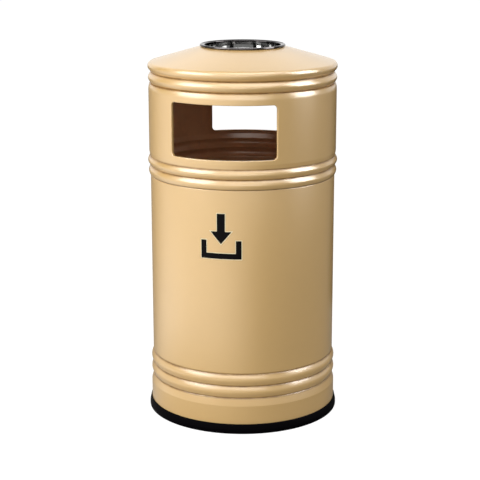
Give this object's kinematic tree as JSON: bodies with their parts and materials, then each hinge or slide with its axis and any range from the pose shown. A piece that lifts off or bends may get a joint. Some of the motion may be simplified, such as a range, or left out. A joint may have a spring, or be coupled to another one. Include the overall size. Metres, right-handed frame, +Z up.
{
  "type": "outdoor trash can",
  "caption": "Round sheet-steel litter bin with a lift-off hood, open front and rear, a drop-in ash bowl in the conical top and a removable liner with a bail.",
  "frame": {"origin": "on the floor at the centre of the base ring", "axes": "+Z up; the front opening faces -Y, the rear one +Y; +X to the right of someone facing the front"},
  "size_m": [0.3975, 0.3976, 0.7669],
  "materials": {
    "body_paint": "cream-beige gloss enamel",
    "base_rubber": "black moulded rubber",
    "polished_bowl": "mirror-polished stainless steel",
    "galvanised": "spangled zinc on thin steel sheet",
    "zinc_fasteners": "bright zinc plate",
    "bail_wire": "drawn galvanised wire"
  },
  "bodies": {
    "body": {"base_ring": "base_rubber", "body_shell": "body_paint", "body_seam": "body_paint", "floor_pan": "body_paint", "floor_screws": "zinc_fasteners", "liner_buffers": "base_rubber"},
    "hood": {"hood_wall": "body_paint", "hood_cone": "body_paint", "hood_seam": "body_paint", "top_rivets": "zinc_fasteners"},
    "bowl": {"ash_bowl": "polished_bowl"},
    "liner": {"liner_wall": "galvanised", "liner_base": "galvanised", "liner_rim_wire": "galvanised", "ear_left": "galvanised", "ear_right": "galvanised", "ear_rivets": "zinc_fasteners"},
    "liner_bail": {"bail": "bail_wire", "bail_washers": "zinc_fasteners"}
  },
  "joints": [
    {"name": "hood_lift", "type": "slide", "parent": "body", "child": "hood", "axis": [0, 0, 1], "range_m": [0, 0.6]},
    {"name": "bowl_lift", "type": "slide", "parent": "hood", "child": "bowl", "axis": [0, 0, 1], "range_m": [0, 0.12]},
    {"name": "liner_lift", "type": "slide", "parent": "body", "child": "liner", "axis": [0, 0, 1], "range_m": [0, 0.48]},
    {"name": "bail_swing", "type": "hinge", "parent": "liner", "child": "liner_bail", "pos_m": [0, 0, 0.4478], "axis": [-1, 0, 0], "range_deg": [0, 180]}
  ],
  "couplings": [
    {"joint": "liner_lift", "follows": "hood_lift", "ratio": 0.8}
  ]
}
